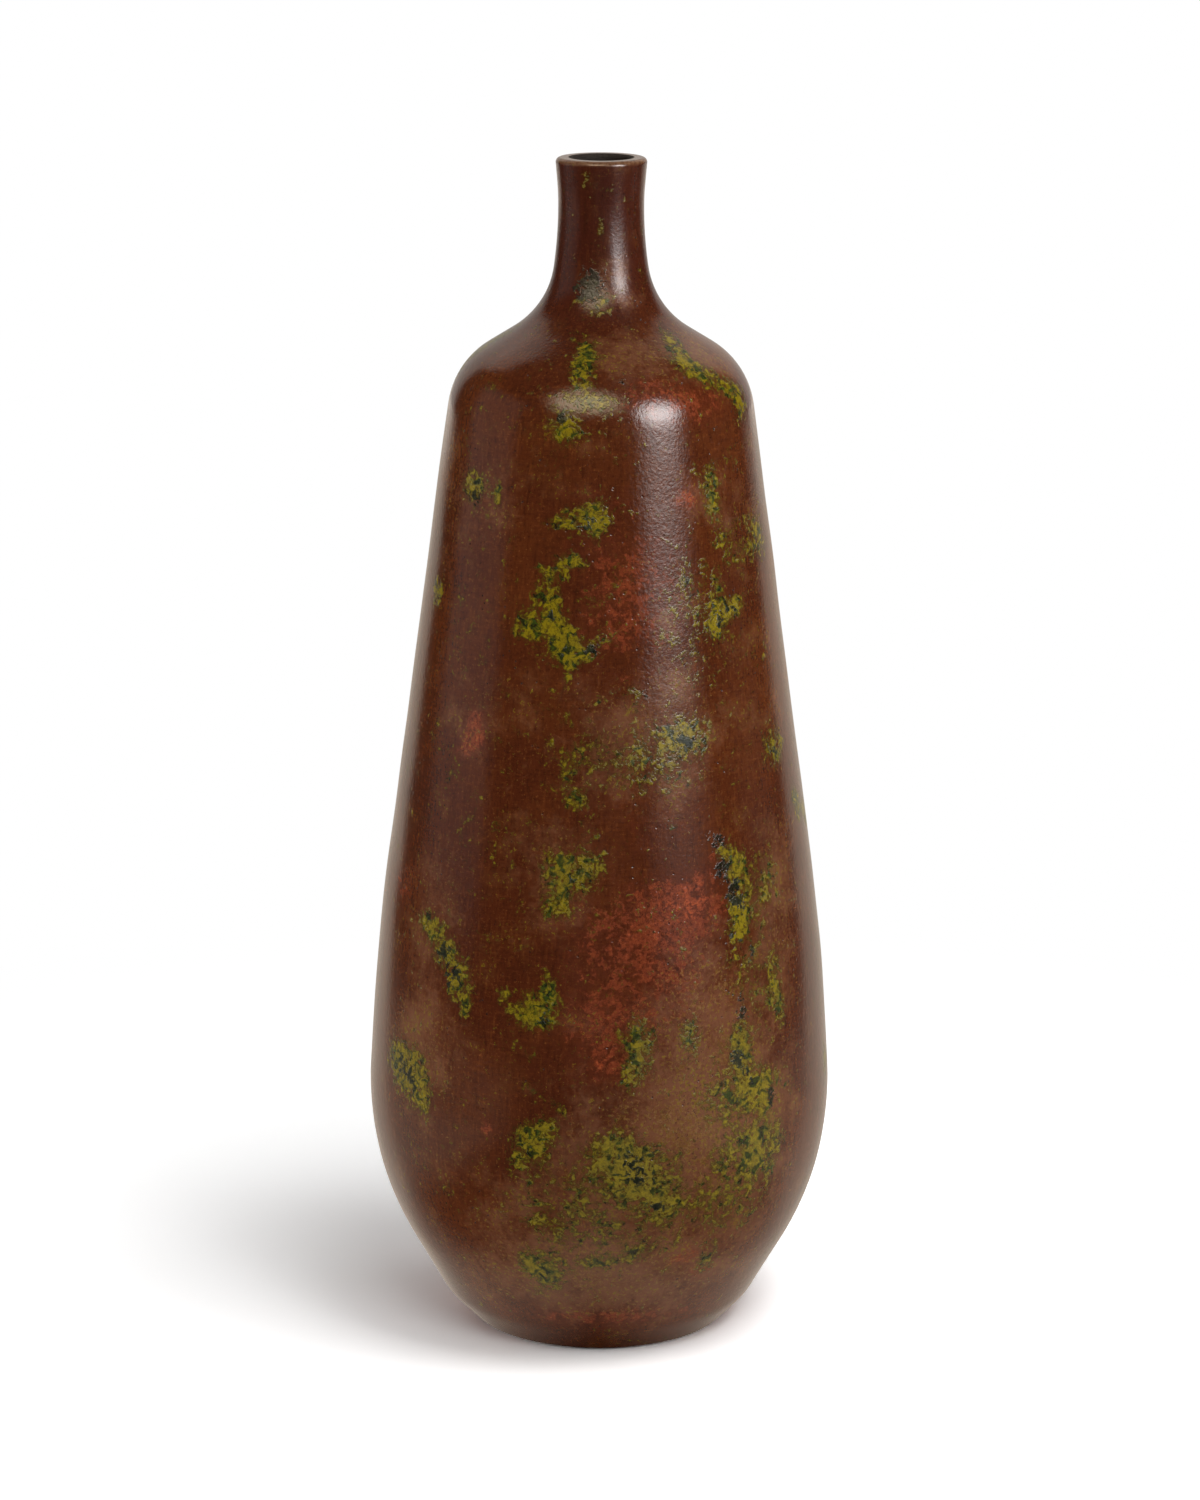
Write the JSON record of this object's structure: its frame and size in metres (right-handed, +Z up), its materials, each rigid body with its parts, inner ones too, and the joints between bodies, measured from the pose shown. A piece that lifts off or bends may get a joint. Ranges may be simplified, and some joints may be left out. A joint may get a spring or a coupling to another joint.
{
  "type": "bronze bottle vase",
  "caption": "Tall cast bronze bottle vase with a slender waisted neck, rounded shoulder, long flanks widening to a low full belly and a small plain foot; holds water or dry stems.",
  "frame": {"origin": "centre of the resting face, on the vase's axis, at the underside of the felt", "axes": "+Z up along the vase's axis, towards the mouth; the body is round, and the pictured side faces -Y"},
  "size_m": [0.1658, 0.1658, 0.42],
  "materials": {
    "patinated_bronze": "cast bronze, hot-patinated red-brown with green, blue-black and orange mottling, waxed to a satin gloss",
    "plate_bronze": "cast bronze plate, filed flat and left dull brown",
    "braze": "brazing alloy, dressed flush with a file",
    "felt": "pressed wool felt, near black"
  },
  "bodies": {
    "root": {"vase_body": "patinated_bronze", "base_plate": "plate_bronze", "braze_ring": "braze", "felt_pad": "felt"}
  },
  "joints": []
}
